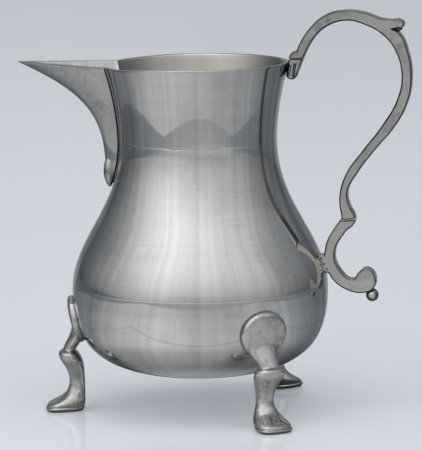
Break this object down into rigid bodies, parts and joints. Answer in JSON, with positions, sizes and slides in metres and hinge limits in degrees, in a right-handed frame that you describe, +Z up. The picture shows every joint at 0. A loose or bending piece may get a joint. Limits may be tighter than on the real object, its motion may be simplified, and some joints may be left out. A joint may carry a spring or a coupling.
{
  "type": "creamer",
  "caption": "Pear-shaped pewter cream jug with a long beak spout, a scrolled strap handle, and cast legs that have round pads and slipper feet.",
  "frame": {"origin": "on the surface that the jug stands on, under the middle of its overall length and width", "axes": "+X towards the handle, -X towards the spout, +Z up"},
  "size_m": [0.1178, 0.0806, 0.1193],
  "materials": {
    "body_upper": "polished pewter with fine turning lines",
    "body_lower": "polished pewter with fine turning lines",
    "spout": "polished cast pewter",
    "handle": "filed and polished cast pewter",
    "leg_spout_side": "filed and polished cast pewter",
    "leg_near": "filed and polished cast pewter",
    "leg_far": "filed and polished cast pewter"
  },
  "bodies": {
    "root": {"body_upper": "body_upper", "body_lower": "body_lower", "spout": "spout", "handle": "handle", "leg_spout_side": "leg_spout_side", "leg_near": "leg_near", "leg_far": "leg_far"}
  },
  "joints": []
}
